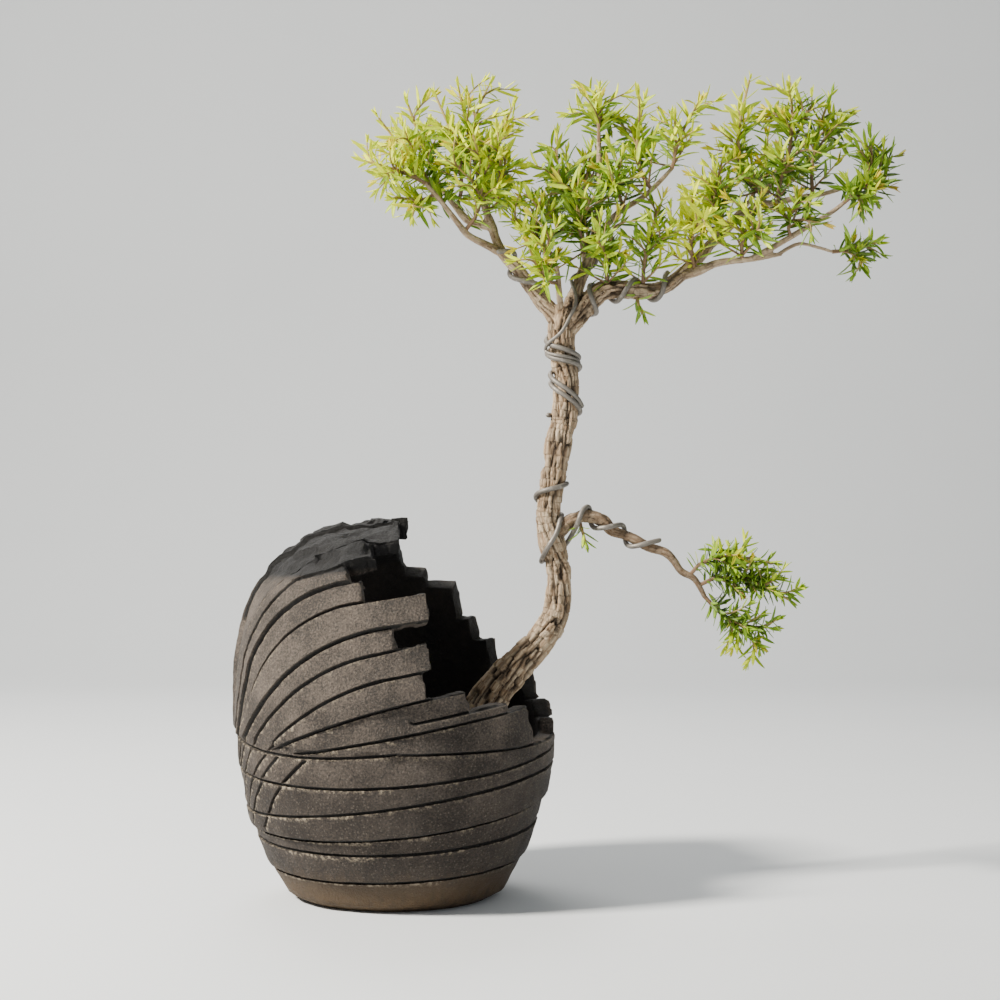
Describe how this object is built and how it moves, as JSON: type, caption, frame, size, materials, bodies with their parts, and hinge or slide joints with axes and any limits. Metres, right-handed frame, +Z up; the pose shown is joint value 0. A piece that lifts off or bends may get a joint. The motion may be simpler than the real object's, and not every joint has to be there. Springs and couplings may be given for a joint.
{
  "type": "bonsai tree in a pot",
  "caption": "Small-leaved bonsai tree with a tall bare trunk and three leafy pads, wired, in a hooded hand-built dark stoneware pot that is open on one side.",
  "frame": {"origin": "middle of the pot's flat underside, on the surface that it stands on", "axes": "+Z up; the front, which shows the pot's open side to the right and the trunk leaning right, faces -Y; +X is to the viewer's right"},
  "size_m": [0.3621, 0.174, 0.4461],
  "materials": {
    "stoneware": "matte",
    "soil": "matte",
    "mesh_plastic": "matte",
    "bark": "matte",
    "wire": "satin",
    "leaves": "satin"
  },
  "bodies": {
    "root": {"drainage_mesh": "mesh_plastic", "left_spray_1": "leaves", "left_spray_10": "leaves", "left_spray_2": "leaves", "left_spray_3": "leaves", "left_spray_4": "leaves", "left_spray_5": "leaves", "left_spray_6": "leaves", "left_spray_7": "leaves", "left_spray_8": "leaves", "left_spray_9": "leaves", "lower_spray_1": "leaves", "lower_spray_2": "leaves", "lower_spray_3": "leaves", "middle_spray_1": "leaves", "middle_spray_10": "leaves", "middle_spray_11": "leaves", "middle_spray_12": "leaves", "middle_spray_2": "leaves", "middle_spray_3": "leaves", "middle_spray_4": "leaves", "middle_spray_5": "leaves", "middle_spray_6": "leaves", "middle_spray_7": "leaves", "middle_spray_8": "leaves", "middle_spray_9": "leaves", "pot": "stoneware", "right_spray_1": "leaves", "right_spray_10": "leaves", "right_spray_11": "leaves", "right_spray_12": "leaves", "right_spray_13": "leaves", "right_spray_2": "leaves", "right_spray_3": "leaves", "right_spray_4": "leaves", "right_spray_5": "leaves", "right_spray_6": "leaves", "right_spray_7": "leaves", "right_spray_8": "leaves", "right_spray_9": "leaves", "soil": "soil", "sprig_under_lower_limb": "leaves", "sprig_under_right_limb": "leaves", "trunk_and_branches": "bark", "wire_crown": "wire", "wire_left_limb": "wire", "wire_lower_branch": "wire", "wire_right_limb": "wire"}
  },
  "joints": []
}
